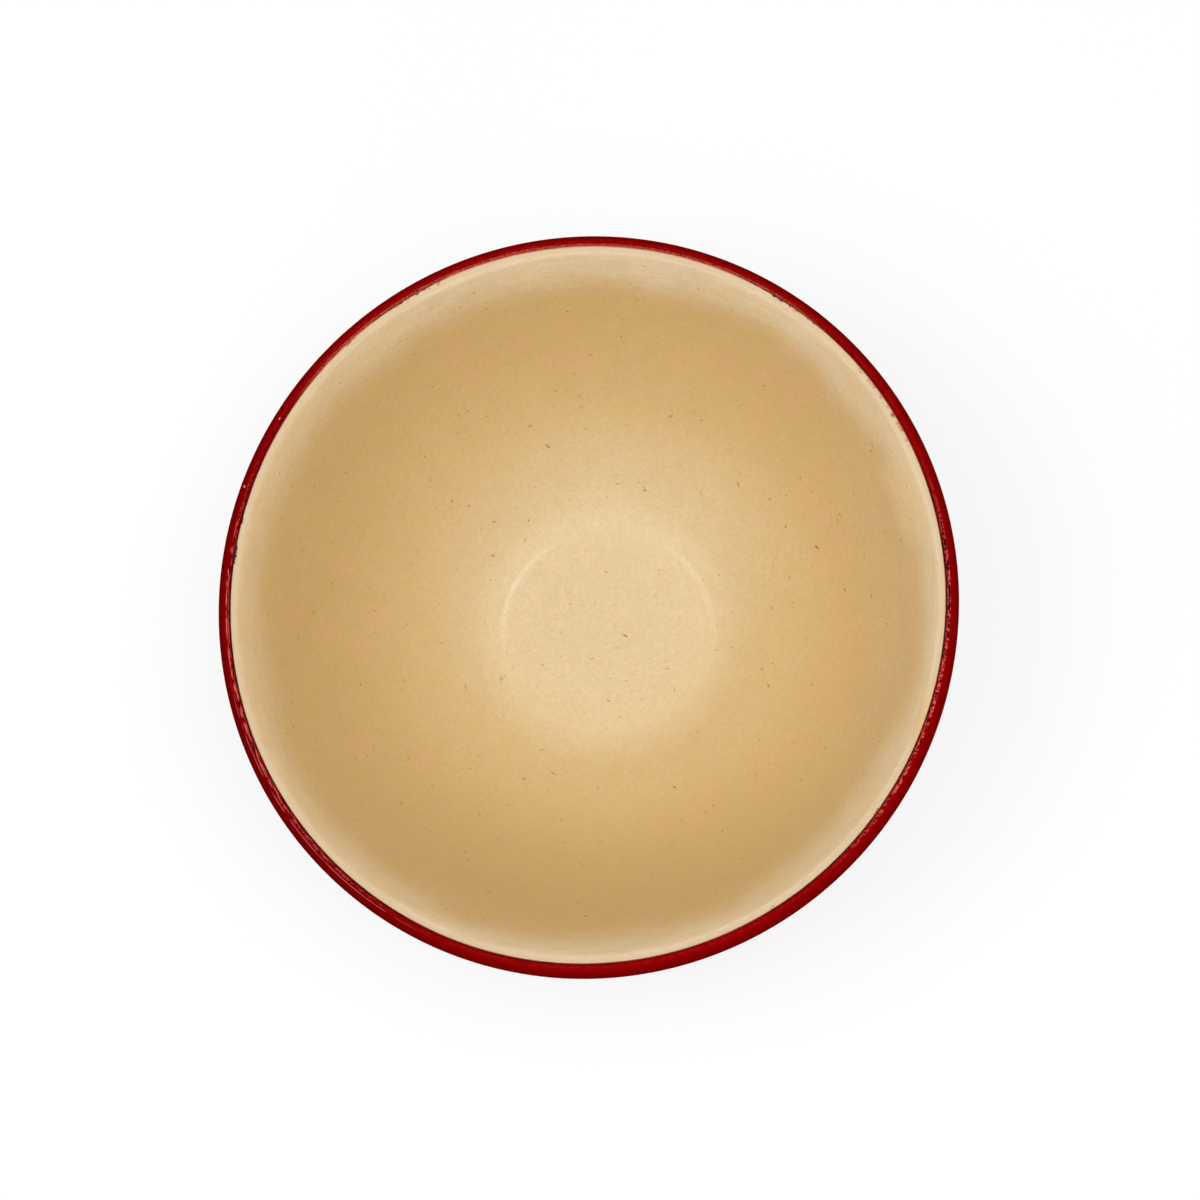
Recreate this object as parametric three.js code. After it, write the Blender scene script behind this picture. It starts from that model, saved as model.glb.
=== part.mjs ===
// A two-tone soup bowl pressed from plant fibre and resin. The red outer shell carries the rim and the
// foot ring, and the cream liner is bonded inside it. Millimetres, +Z up. The origin is on the table,
// at the centre of the foot ring, and the bowl is round about +Z.
import * as THREE from "three";

// Overall size
const rimDiameter = 150;
const bowlHeight = 75;

// Walls, and the bond line between the two pressings
const shellWall = 2.8;
const linerWall = 1.5;
const bondGap = 0.3;

// Bottom: the shell's plate above the recess, and the liner's plate that stands on it
const shellBase = 2.8;
const linerBase = 1.7;
const floorDiameter = 51;
const floorFillet = 4.5;

// Foot ring: its outer edge on the table, the width of its ring, and the recess that it stands round
const footDiameter = 64;
const footWidth = 4;
const footRecess = 4.5;
const footDraft = 0.8;
const footEdge = 0.6;
const footFillet = 2.5;
const recessFillet = 1.5;

// Rim of the shell: a steep face above the liner, a narrow land, and a shoulder that rolls out to the
// widest ring of the bowl. The land cuts the shoulder off after it has turned by so many degrees.
const rimFaceLean = 0.3;
const shoulderInset = 1.5;
const shoulderHeight = 5.5;
const shoulderTurn = 78;

// Top edge of the liner: how far it stays below the land, and the round on its food side
const linerSetback = 1.3;
const linerRound = 0.8;

// Facets round the axis, and steps along each curve of a profile
const facets = 72;
const wallSteps = 11;
const shoulderSteps = 4;
const roundSteps = 3;
const filletSteps = 3;

// Heights and radii that follow from the sizes above
const rimRadius = rimDiameter / 2;
const shellOffset = linerWall + bondGap;
const outerOffset = shellOffset + shellWall;
const hollowRadius = rimRadius - outerOffset;
const widestHeight = bowlHeight - shoulderHeight;
const seatHeight = footRecess + shellBase;
const floorHeight = seatHeight + linerBase;
const floorRadius = floorDiameter / 2;
const hollowDrop = (widestHeight - floorHeight) / Math.sqrt(1 - (floorRadius / hollowRadius) ** 2);

const point = (radius, height) => new THREE.Vector2(radius, height);

// The curved wall at an offset behind the food side, between two angles. Each layer is a quarter
// ellipse about the same centre, on the axis at the height of the widest ring, so the layers are
// parallel. Angle 0 is the widest ring and a quarter turn below it is the axis.
function wall(offset, from, to) {
  return new THREE.EllipseCurve(
    0,
    widestHeight,
    hollowRadius + offset,
    hollowDrop + offset,
    from,
    to,
    from > to,
  );
}

const angleAtHeight = (offset, height) => Math.asin((height - widestHeight) / (hollowDrop + offset));
const angleAtRadius = (offset, radius) => -Math.acos(radius / (hollowRadius + offset));

// The angle that takes a given length along the wall, up from the angle where it starts
function angleAfter(offset, start, length) {
  const across = (hollowRadius + offset) * Math.sin(start);
  const up = (hollowDrop + offset) * Math.cos(start);
  return start + length / Math.hypot(across, up);
}

// A rounded corner from one point to another, pulled towards the corner itself
const corner = (from, at, to) => new THREE.QuadraticBezierCurve(from, at, to).getPoints(filletSteps);

// A stretch of an upright ellipse that turns from one angle to another
function arc(radius, height, width, rise, from, to) {
  return new THREE.EllipseCurve(radius, height, width, rise, from, to, from > to);
}

// A closed solid turned from a profile that starts and ends on the axis. Points that repeat are dropped.
function turned(name, profile, material) {
  const clean = profile.filter((p, i) => i === 0 || p.distanceTo(profile[i - 1]) > 1e-4);
  const geometry = new THREE.LatheGeometry(clean, facets);
  geometry.rotateX(Math.PI / 2);
  const mesh = new THREE.Mesh(geometry, material);
  mesh.name = name;
  return mesh;
}

// The recess under the bowl and the foot ring round it, from the axis out to the outside wall
function footProfile() {
  const outer = footDiameter / 2;
  const inner = outer - footWidth;
  const recessRadius = inner - footDraft;
  const jointRadius = outer + footDraft;
  const jointAngle = angleAtRadius(outerOffset, jointRadius);
  const joint = wall(outerOffset, jointAngle, 0).getPoint(0);
  const filletEnd = angleAfter(outerOffset, jointAngle, footFillet);
  const wallStart = wall(outerOffset, filletEnd, 0).getPoint(0);
  return [
    point(0, footRecess),
    ...corner(
      point(recessRadius - recessFillet, footRecess),
      point(recessRadius, footRecess),
      point(recessRadius, footRecess - recessFillet),
    ),
    ...corner(point(inner, footEdge), point(inner, 0), point(inner + footEdge, 0)),
    ...corner(point(outer - footEdge, 0), point(outer, 0), point(outer, footEdge)),
    ...corner(point(jointRadius, joint.y - footFillet), joint, wallStart),
    ...wall(outerOffset, filletEnd, 0).getPoints(wallSteps),
  ];
}

// The rim, from the widest ring up over the shoulder and the land, and down its face to the bond line.
// The ellipse of the shoulder is as wide and as high as it has to be to reach the land at that turn.
function rimProfile() {
  const lean = Math.min(shoulderInset, 0.6 * shellWall);
  const faceLean = Math.min(rimFaceLean, 0.25 * shellWall);
  const bond = rimRadius - shellWall;
  const turn = THREE.MathUtils.degToRad(shoulderTurn);
  const width = lean / (1 - Math.cos(turn));
  const rise = shoulderHeight / Math.sin(turn);
  const shoulder = arc(rimRadius - width, widestHeight, width, rise, 0, turn);
  return [
    ...shoulder.getPoints(shoulderSteps),
    point(bond + faceLean, bowlHeight),
    point(bond, bowlHeight - linerSetback),
  ];
}

function shell() {
  const profile = [
    ...footProfile(),
    ...rimProfile(),
    ...wall(shellOffset, 0, angleAtHeight(shellOffset, seatHeight)).getPoints(wallSteps),
    point(0, seatHeight),
  ];
  const red = new THREE.MeshStandardMaterial({ color: 0x8f0508, roughness: 0.38, metalness: 0 });
  return turned("outer_shell", profile, red);
}

function liner() {
  const round = Math.min(linerRound, 0.8 * linerWall);
  const top = bowlHeight - linerSetback;
  const floorAngle = angleAtHeight(0, floorHeight);
  const filletAngle = angleAfter(0, floorAngle, floorFillet);
  const edge = arc(hollowRadius + round, top - round, round, round, Math.PI / 2, Math.PI);
  const profile = [
    point(0, seatHeight),
    ...wall(linerWall, angleAtHeight(linerWall, seatHeight), 0).getPoints(wallSteps),
    point(hollowRadius + linerWall, top),
    ...edge.getPoints(roundSteps),
    ...wall(0, 0, filletAngle).getPoints(wallSteps),
    ...corner(
      wall(0, filletAngle, 0).getPoint(0),
      point(floorRadius, floorHeight),
      point(floorRadius - floorFillet, floorHeight),
    ),
    point(0, floorHeight),
  ];
  const cream = new THREE.MeshStandardMaterial({ color: 0xe3c795, roughness: 0.5, metalness: 0 });
  return turned("inner_liner", profile, cream);
}

const bowl = new THREE.Group();
bowl.name = "soup_bowl";
bowl.add(shell(), liner());

export default bowl;
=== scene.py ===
# %% [markdown]
# # A two-tone soup bowl
# The bowl is two pressings of plant fibre and resin. A red outer shell carries the rim and the foot
# ring, and a cream liner full of brown fibre specks is bonded inside it. This lesson loads the solids of
# both pressings as a fixed frame, lays finer surfaces over them and gives each one its finish.

# %% Load the frame
import math

import bpy
import numpy as np
from mathutils import Matrix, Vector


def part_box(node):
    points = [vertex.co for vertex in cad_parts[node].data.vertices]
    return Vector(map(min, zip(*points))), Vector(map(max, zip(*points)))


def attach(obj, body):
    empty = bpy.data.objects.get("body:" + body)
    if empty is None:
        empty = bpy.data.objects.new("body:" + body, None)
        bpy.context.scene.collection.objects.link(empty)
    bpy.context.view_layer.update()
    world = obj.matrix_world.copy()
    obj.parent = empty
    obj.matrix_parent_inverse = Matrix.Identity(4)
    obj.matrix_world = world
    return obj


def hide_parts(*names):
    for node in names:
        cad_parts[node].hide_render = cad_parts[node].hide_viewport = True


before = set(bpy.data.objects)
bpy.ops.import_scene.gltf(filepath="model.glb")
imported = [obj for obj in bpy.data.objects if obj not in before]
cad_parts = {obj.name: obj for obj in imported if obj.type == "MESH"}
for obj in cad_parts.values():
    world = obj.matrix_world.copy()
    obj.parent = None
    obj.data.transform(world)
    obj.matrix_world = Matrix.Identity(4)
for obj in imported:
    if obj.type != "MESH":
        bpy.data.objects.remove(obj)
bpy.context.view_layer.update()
shell_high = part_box("outer_shell")[1]
liner_low, liner_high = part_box("inner_liner")

# %% [markdown]
# ## Sizes
# Radius, height, seat and edge are read off the two solids. What a box can't tell, such as a wall or
# the width of the foot ring, is named here in millimetres. Every later size follows from these.

# %% Sizes of the two pressings
MM = 0.001
RIM_RADIUS = shell_high.x
BOWL_HEIGHT = shell_high.z
LINER_RADIUS = liner_high.x
LINER_TOP = liner_high.z
SEAT_HEIGHT = liner_low.z
LINER_WALL = 1.5 * MM
BOND_GAP = 0.3 * MM
LINER_BASE = 1.7 * MM
FLOOR_RADIUS = 25.5 * MM
SHOULDER_HEIGHT = 5.5 * MM
SHOULDER_INSET = 1.5 * MM

BOND_RADIUS = LINER_RADIUS + BOND_GAP
HOLLOW_RADIUS = LINER_RADIUS - LINER_WALL
WIDEST_HEIGHT = BOWL_HEIGHT - SHOULDER_HEIGHT
FLOOR_HEIGHT = SEAT_HEIGHT + LINER_BASE
HOLLOW_DROP = (WIDEST_HEIGHT - FLOOR_HEIGHT) / math.sqrt(1 - (FLOOR_RADIUS / HOLLOW_RADIUS) ** 2)
print(f"hollow {2000 * HOLLOW_RADIUS:.1f} mm wide and {1000 * (LINER_TOP - FLOOR_HEIGHT):.1f} mm deep")

# %% [markdown]
# ## The camera
# The bowl is seen almost straight from above. Its floor drifts to the lower right of the rim, so the
# camera leans a little that way. A camera could be aimed by hand, but here its three axes are worked
# out from the lean, the direction of the lean and the place of the rim in the picture.

# %% Camera
PICTURE = 1200
RIM_CENTRE_PX = (584.2, 600.4)
PX_PER_METRE = 5014
VIEW_DISTANCE = 0.6
VIEW_LEAN = math.radians(7.71)
LEAN_DIRECTION = math.radians(57.1)
SENSOR_MM = 36


def view_axes(lean, direction):
    """Rows right, down and forward of the camera in the bowl's axes. The bowl's up axis points at the
    camera, leaning back from where the floor drifts. X stays level in the picture, and Y is up cross X."""
    flat = math.sin(lean)
    up = np.array([-flat * math.cos(direction), -flat * math.sin(direction), -math.cos(lean)])
    x_axis = np.array([1.0, 0.0, 0.0]) - up * up[0]
    x_axis /= np.linalg.norm(x_axis)
    return np.stack([x_axis, np.cross(up, x_axis), up], axis=1)


def stand(name, data, right, up, back, place):
    """Object whose matrix has its three axes and its place as columns, linked to the scene."""
    columns = np.eye(4)
    columns[:3] = np.stack([right, up, back, place], axis=1)
    made = bpy.data.objects.new(name, data)
    made.matrix_world = Matrix(columns.tolist())
    bpy.context.scene.collection.objects.link(made)
    return made


right, down, forward = view_axes(VIEW_LEAN, LEAN_DIRECTION)
focal_px = PX_PER_METRE * VIEW_DISTANCE
rim_across, rim_along = (np.array(RIM_CENTRE_PX) - PICTURE / 2) * VIEW_DISTANCE / focal_px
eye = np.array([0, 0, BOWL_HEIGHT]) - right * rim_across - down * rim_along - forward * VIEW_DISTANCE

lens = bpy.data.cameras.new("camera")
lens.sensor_width = SENSOR_MM
lens.lens = SENSOR_MM * focal_px / PICTURE
bpy.context.scene.camera = stand("camera", lens, right, -down, -forward, eye)
print(f"camera at {np.round(eye, 3)}, lens {lens.lens:.1f} mm")

# %% [markdown]
# ## Profiles
# Both pressings are round, so each is a profile of radius and height, carried round the axis. It could
# be drawn as a curve object, but here it is put together from straight stretches, rounded corners and
# parts of the wall's ellipse, so that each size above stays in charge of its place.

# %% Stretches of a profile
def straight(start, end, count):
    """Points spread evenly from start towards end, without the end point."""
    return np.linspace(start, end, count, endpoint=False)


def rounded(start, corner, end, count):
    """Quadratic Bezier curve: (1-t)^2 start + 2t(1-t) corner + t^2 end, without the end point."""
    t = np.linspace(0, 1, count, endpoint=False)[:, None]
    return (1 - t) ** 2 * np.array(start) + 2 * t * (1 - t) * np.array(corner) + t**2 * np.array(end)


def wall_point(offset, angle):
    """Ellipse about the axis at the widest height. Its half axes are the hollow's, grown by the offset.
    Angle 0 is the widest ring and minus a quarter turn is on the axis."""
    radius = (HOLLOW_RADIUS + offset) * np.cos(angle)
    height = WIDEST_HEIGHT + (HOLLOW_DROP + offset) * np.sin(angle)
    return np.stack([radius, height], axis=-1)


def wall(offset, first, last, count):
    """Stretch of the wall's ellipse from the first angle towards the last, without the end point."""
    return wall_point(offset, np.linspace(first, last, count, endpoint=False))


def angle_at_height(offset, height):
    """Angle at which the wall at that offset passes a height."""
    return math.asin((height - WIDEST_HEIGHT) / (HOLLOW_DROP + offset))


def angle_at_radius(offset, radius):
    """Angle at which the wall at that offset passes a radius."""
    return -math.acos(radius / (HOLLOW_RADIUS + offset))


print("food side meets the floor at", round(math.degrees(angle_at_height(0, FLOOR_HEIGHT)), 1), "degrees")

# %% [markdown]
# ## Surfaces of revolution
# A Screw modifier would carry a profile round too. A grid of whole arrays can be pushed in and out
# afterwards, which is how the wavy seam, the nicks and the uneven wall get in. Each row of the grid is one
# ring of the bowl, neighbouring rows are joined by quads, and a fan of triangles closes each pole.

# %% Surface of revolution
AROUND = 1440
azimuth = np.arange(AROUND) * 2 * math.pi / AROUND


def rings_of(profile):
    """Radius and height of a profile, each as one row a ring with the same value all round."""
    return [np.repeat(profile[:, i : i + 1], AROUND, axis=1) for i in (0, 1)]


def per_vertex(rows, closed):
    """Flattens one row a ring into one entry a vertex. Each end of an open profile keeps one entry, its
    pole on the axis."""
    flat = rows.reshape(-1, *rows.shape[2:])
    return flat if closed else flat[AROUND - 1 : 1 - AROUND]


def revolve(name, radius, height, closed=False):
    """Point(ring, step) = (radius cos azimuth, radius sin azimuth, height), for arrays of one row a ring.
    An open profile starts and ends on the axis, where a fan of triangles meets the pole. A closed profile
    joins its last ring to its first."""
    rings = len(radius)
    points = np.stack([radius * np.cos(azimuth), radius * np.sin(azimuth), height], axis=-1)
    points = per_vertex(points, closed)
    if closed:
        index = np.arange(rings * AROUND).reshape(rings, AROUND)
        index = np.vstack([index, index[:1]])
    else:
        index = 1 + np.arange((rings - 2) * AROUND).reshape(rings - 2, AROUND)
    after = np.roll(index, -1, axis=1)
    faces = np.stack([index[:-1], after[:-1], after[1:], index[1:]], axis=-1).reshape(-1, 4).tolist()
    if not closed:
        first, last = np.zeros(AROUND, int), np.full(AROUND, len(points) - 1)
        faces += np.stack([first, after[0], index[0]], axis=1).tolist()
        faces += np.stack([index[-1], after[-1], last], axis=1).tolist()
    mesh = bpy.data.meshes.new(name)
    mesh.from_pydata(points, [], faces)
    mesh.polygons.foreach_set("use_smooth", np.ones(len(faces), bool))
    piece = bpy.data.objects.new(name, mesh)
    bpy.context.scene.collection.objects.link(piece)
    print(f"{name}: {rings} rings, {sum(map(len, faces)) - 2 * len(faces)} triangles")
    return piece


def paint(piece, marks, closed=False):
    """Stores each mark, one number a vertex, as an attribute for the material to read."""
    for name, values in marks.items():
        layer = piece.data.attributes.new(name, "FLOAT", "POINT")
        layer.data.foreach_set("value", per_vertex(values, closed).astype(np.float32))
    print(f"painted on {piece.name}:", *marks)


print(f"{AROUND} steps round, {2000 * math.pi * RIM_RADIUS / AROUND:.2f} mm apart at the rim")

# %% [markdown]
# ## Uneven handwork
# No pressing is even: edges wander, walls wave, and wear sits where hands and spoons reach. A Displace
# modifier with a texture could give such noise, but sums of waves and smooth steps round the axis say
# where each mark lies and how large it is. All random phases and places have fixed seeds.

# %% Waves, zones and marks
def wander(seed, slowest, fastest, falloff):
    """Sum of cosines round the axis. Each whole number of waves from the slowest to the fastest has a
    random phase, and its share falls with a power of that number. The result has an rms of 1."""
    waves = np.arange(slowest, fastest + 1)
    phase = np.random.default_rng(seed).uniform(0, 2 * math.pi, len(waves))
    total = (np.cos(np.outer(azimuth, waves) + phase) * waves**-falloff).sum(axis=1)
    return total / total.std()


def ramp(values, low, high):
    """Smooth step: 0 below low, 1 above high, 3t^2 - 2t^3 between them."""
    t = np.clip((values - low) / (high - low), 0, 1)
    return t * t * (3 - 2 * t)


def window(values, low, high, soft):
    """1 between low and high, with a smooth step of the given softness at each end."""
    return ramp(values, low - soft, low) * (1 - ramp(values, high, high + soft))


def sector(middle, half, soft):
    """1 within half of a direction round the axis, all in degrees, fading over the softness."""
    away = np.degrees(np.abs(np.angle(np.exp(1j * (azimuth - math.radians(middle))))))
    return 1 - ramp(away, half - soft, half + soft)


def spots(places, radius, height):
    """Sum of bell curves exp(-d^2 / 2 size^2) of the distance d to each place, given as direction in
    degrees, radius, height and size."""
    total = np.zeros_like(radius)
    for direction, place_radius, place_height, size in places:
        turn = math.radians(direction)
        gap = (radius * np.cos(azimuth) - place_radius * math.cos(turn)) ** 2
        gap += (radius * np.sin(azimuth) - place_radius * math.sin(turn)) ** 2
        gap += (height - place_height) ** 2
        total += np.exp(-gap / (2 * size**2))
    return total


def crumbs(seed, runs):
    """Places of small grains strewn along an edge. A run is a direction and a half width in degrees, how
    many grains it has, and the limits of their distance from the edge and of their size in millimetres."""
    random = np.random.default_rng(seed)
    places = []
    for middle, half, count, nearest, farthest, smallest, largest in runs:
        turn = middle + half * random.uniform(-1, 1, count)
        inset = random.uniform(nearest, farthest, count) * MM
        size = random.uniform(smallest, largest, count) * MM
        places += np.stack([turn, inset, size], axis=1).tolist()
    return places


print("a sector of 30 degrees takes", round(float(sector(0, 30, 5).mean()), 3), "of the way round")

# %% [markdown]
# ## Out of round
# A pressing warps a little as it cools. This rim has gone oval by 0.4 mm of its radius, and the seam isn't
# quite in the middle of it. A lattice could bend the finished pieces, but one shift of the radius does it
# for all of them alike. It fades towards the foot, and the outside of the rim is drawn in by as much as
# the oval would reach past the box of the solids.

# %% Shift of the radius
OVAL = 0.38 * MM
OVAL_DIRECTION = math.radians(62)
SEAM_SHIFT = 0.2 * MM
SEAM_DIRECTION = math.radians(71)
BOX_CLEAR = 0.002 * MM
WARP_START = 20 * MM
WARP_FULL = BOWL_HEIGHT - 5 * MM

oval = OVAL * np.cos(2 * (azimuth - OVAL_DIRECTION))
reach = (RIM_RADIUS + oval) * np.maximum(np.abs(np.cos(azimuth)), np.abs(np.sin(azimuth)))
trim = reach.max() - RIM_RADIUS + BOX_CLEAR


def warp(height, seam):
    """Oval of two waves round the axis, less the trim, and for the share that belongs to the seam one wave
    more and no trim. All of it fades from the rim down."""
    shift = oval - trim + seam * (trim + SEAM_SHIFT * np.cos(azimuth - SEAM_DIRECTION))
    return shift * ramp(height, WARP_START, WARP_FULL)


print(f"radius varies by {2000 * OVAL:.2f} mm, rim drawn in by {1000 * trim:.2f} mm")

# %% [markdown]
# ## The red shell
# The shell is pressed in a two-part mould. Its flash is trimmed off at the rim, which leaves a flat land
# with a crisp edge towards the rolled shoulder and a steep face above the liner. The foot ring and the
# recess inside it come out of the same mould. A box model with bevels could show all that, but one profile
# from pole to pole gives it in one closed surface.

# %% Foot of the shell
FOOT_RADIUS = 32 * MM
FOOT_WIDTH = 4 * MM
FOOT_RECESS = 4.5 * MM
FOOT_DRAFT = 0.8 * MM
FOOT_EDGE = 0.6 * MM
FOOT_FILLET = 2.5 * MM
RECESS_FILLET = 1.5 * MM
CORNER_STEPS = 3

outer_offset = RIM_RADIUS - HOLLOW_RADIUS


def foot_profile():
    """Recess from the axis out, down its side, under the ring with its rounds, and up to the wall."""
    inner = FOOT_RADIUS - FOOT_WIDTH
    recess = inner - FOOT_DRAFT
    joint_radius = FOOT_RADIUS + FOOT_DRAFT
    joint_angle = angle_at_radius(outer_offset, joint_radius)
    joint = wall_point(outer_offset, joint_angle)
    wall_angle = joint_angle + FOOT_FILLET / (HOLLOW_DROP + outer_offset)
    wall_start = wall_point(outer_offset, wall_angle)
    low, high = (recess, FOOT_RECESS - RECESS_FILLET), (inner, FOOT_EDGE)
    outside, below = (FOOT_RADIUS, FOOT_EDGE), (joint_radius, joint[1] - FOOT_FILLET)
    stretches = [
        straight((0, FOOT_RECESS), (recess - RECESS_FILLET, FOOT_RECESS), 2),
        rounded((recess - RECESS_FILLET, FOOT_RECESS), (recess, FOOT_RECESS), low, CORNER_STEPS),
        [low],
        rounded(high, (inner, 0), (inner + FOOT_EDGE, 0), CORNER_STEPS),
        [(inner + FOOT_EDGE, 0)],
        rounded((FOOT_RADIUS - FOOT_EDGE, 0), (FOOT_RADIUS, 0), outside, CORNER_STEPS),
        [outside],
        rounded(below, joint, wall_start, CORNER_STEPS),
    ]
    return np.vstack(stretches), wall_angle


foot, foot_angle = foot_profile()
print(f"foot: {len(foot)} rings, wall starts {1000 * wall_point(outer_offset, foot_angle)[1]:.1f} mm up")

# %% [markdown]
# The rim is what one sees most of the shell. Its shoulder is part of an ellipse, and the land cuts it off
# before it turns level. The land has many rings, because the marks of trimming painted on it are only a
# tenth of a millimetre wide. The hidden side keeps the steps of the liner's, so the two never touch.

# %% Rim and profile of the shell
FACE_LEAN = 0.3 * MM
JOINT_WIDTH = 0.15 * MM
LAND_EDGE = 0.12 * MM
SHOULDER_TURN = math.radians(78)
SHOULDER_STEPS = 8
LAND_STEPS = 12
FACE_STEPS = 6
OUTSIDE_STEPS = 13
HIDDEN_STEPS = 5

shell_offset = LINER_WALL + BOND_GAP
land_outer = RIM_RADIUS - SHOULDER_INSET
land_inner = BOND_RADIUS + FACE_LEAN
face_radius = LINER_RADIUS + JOINT_WIDTH


def rim_profile():
    """Shoulder as the first part of an ellipse, cut off by the flat land, then the steep face above the
    liner, which closes the joint to a thin line. Both edges of the land have a small round."""
    half_width = SHOULDER_INSET / (1 - math.cos(SHOULDER_TURN))
    half_height = SHOULDER_HEIGHT / math.sin(SHOULDER_TURN)
    turn = np.linspace(0, SHOULDER_TURN, SHOULDER_STEPS + 1)
    shoulder = np.stack([
        RIM_RADIUS - half_width * (1 - np.cos(turn)),
        WIDEST_HEIGHT + half_height * np.sin(turn),
    ], axis=1)
    edge, top = LAND_EDGE, BOWL_HEIGHT
    face_top, face_foot = (land_inner - edge * 0.3, top - edge), (face_radius, LINER_TOP - edge)
    stretches = [
        shoulder[:-1],
        rounded(shoulder[-2] * 0.3 + shoulder[-1] * 0.7, shoulder[-1], (land_outer - edge, top), 3),
        straight((land_outer - edge, top), (land_inner + edge, top), LAND_STEPS),
        rounded((land_inner + edge, top), (land_inner, top), face_top, 4),
        straight(face_top, face_foot, FACE_STEPS),
    ]
    return np.vstack(stretches), face_foot


def shell_profile():
    """Foot, outside wall, rim, and back down the hidden side to the axis."""
    rim, face_foot = rim_profile()
    seat_angle = angle_at_height(shell_offset, SEAT_HEIGHT)
    return np.vstack([
        foot,
        wall(outer_offset, foot_angle, 0, OUTSIDE_STEPS),
        rim,
        [face_foot],
        wall(shell_offset, 0, seat_angle, HIDDEN_STEPS),
        [wall_point(shell_offset, seat_angle)],
        [(0, SEAT_HEIGHT)],
    ])


profile = shell_profile()
print("shell profile", profile.shape, "land", round(1000 * (land_outer - land_inner), 2), "mm wide")

# %% [markdown]
# The trimmed land isn't perfect. Its inner edge wanders by a twentieth of a millimetre, and two chips are
# broken out of it. They could be sculpted, but a shift of the rings near the edge is enough for both.

# %% Shell surface
EDGE_WANDER = 0.05 * MM
NICK_DEPTH = 0.12 * MM
CHIP_SIZE = 0.1 * MM
CHIPS = [
    (161, land_outer - 0.1 * MM, BOWL_HEIGHT, CHIP_SIZE),
    (148.7, land_inner + 0.2 * MM, BOWL_HEIGHT, CHIP_SIZE),
]

radius, height = rings_of(profile)
on_top = ramp(height, LINER_TOP - 0.2 * MM, BOWL_HEIGHT - 0.3 * MM)
near_bond = on_top * (1 - ramp(radius, land_inner, land_inner + 0.6 * MM))
shell_chips = spots(CHIPS, radius, height)
radius += near_bond * EDGE_WANDER * wander(11, 9, 260, 0.7)
height -= NICK_DEPTH * shell_chips * on_top

past_shoulder = np.arange(len(profile))[:, None] > np.argmax(profile[:, 1])
seam_share = past_shoulder * (1 - ramp(radius, land_inner, land_outer))
shell = revolve("red_shell", radius + warp(height, seam_share), height)
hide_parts("outer_shell")
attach(shell, "root")

# %% [markdown]
# The finish needs to know where the marks lie, and they go round the bowl. On the far side the face is
# worn, and painted a lighter orange where light falls on it. At the left, painted glints make pale streaks
# beside the seam, and a painted highlight with painted shade beside it makes a crease line, at the right
# painted glints lie on the grain of the land, and one place there is near black. Painted shade darkens the
# foot of the face by the joint. Weight paint could mark all that by hand. Here each mark is a zone across
# the rim times a sector round it.

# %% Marks on the shell
# The crease line across the land at the left is a painted highlight with painted shade beside it.
CREASE_RADIUS = land_inner + 0.62 * MM

# On the far side the face is worn and painted lighter where light falls on it.
far_side = sector(97, 45, 6)
streak_side = sector(-163, 32, 14)
crease_side = sector(-142, 22, 6)
glint_side = sector(-14, 24, 14)
# Painted shade at the foot of the face, where the joint lies in shade.
joint_shade_side = np.maximum(0.25 * sector(-149, 30, 6), 0.5 * sector(-20, 42, 8))
# One place on the land near the joint is painted near black in the pits between the ridges.
dark_patch_side = np.maximum(sector(4, 7, 3), 0.4 * sector(-5, 4, 2))
# Painted light and shade round the rim: the tone is 1 where the rim is lit and falls to 0 where it is in
# shade.
tone = 0.55 + 0.45 * sector(-45, 75, 45) - 0.55 * sector(-160, 45, 30)

land_zone = on_top * window(radius, land_inner + 0.1 * MM, land_outer - 0.5 * MM, 0.5 * MM)
face_zone = past_shoulder * ramp(height, LINER_TOP - 0.5 * MM, LINER_TOP - 0.2 * MM)
face_zone = face_zone * (1 - ramp(radius, land_inner - 0.26 * MM, land_inner - 0.1 * MM))
face_foot_zone = face_zone * (1 - ramp(height, LINER_TOP + 0.1 * MM, LINER_TOP + 0.5 * MM))
grain_zone = window(radius, land_inner - 0.25 * MM, land_inner + 0.4 * MM, 0.16 * MM)
streak_zone = window(radius, land_inner - 0.3 * MM, land_inner + 0.08 * MM, 0.1 * MM)
crease_highlight_zone = window(radius, CREASE_RADIUS - 0.05 * MM, CREASE_RADIUS + 0.05 * MM, 0.06 * MM)
crease_shade_zone = window(radius, CREASE_RADIUS + 0.2 * MM, CREASE_RADIUS + 0.3 * MM, 0.06 * MM)
dark_patch_zone = 1 - ramp(radius, land_inner + 0.1 * MM, land_inner + 0.6 * MM)
# Painted glints: pale ridge tops on the grain at the right and pale streaks at the left stand in for
# highlights.
painted_glints = np.maximum(grain_zone * (0.04 + 0.96 * glint_side), streak_zone * streak_side)
crease_light = on_top * crease_side * (crease_highlight_zone - crease_shade_zone)

paint(shell, {
    "land": land_zone,
    "polish": 1 - ramp(height, WIDEST_HEIGHT - 10 * MM, WIDEST_HEIGHT),
    "tone": np.broadcast_to(tone, radius.shape),
    "worn_and_lit": 0.85 * face_zone * far_side,
    "painted_glints": on_top * painted_glints,
    "line": crease_light - joint_shade_side * face_foot_zone,
    "lined": np.broadcast_to(streak_side, radius.shape),
    "chip": np.clip(shell_chips * 1.5, 0, 1),
    "dark_patch": dark_patch_side * on_top * dark_patch_zone,
})

# %% [markdown]
# ## The cream liner
# The liner is a thin pressing that stands 1.3 mm below the red rim. Its top edge is a narrow trimmed land
# that turns down into the food side in one long round. The flat floor is a separate insert of the mould,
# which leaves a low step round it. A step could be cut with a boolean, but here extra rings of the fillet
# are ready to be lowered. It is plain in two stretches only, where it catches the light as two thin arcs.

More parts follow.
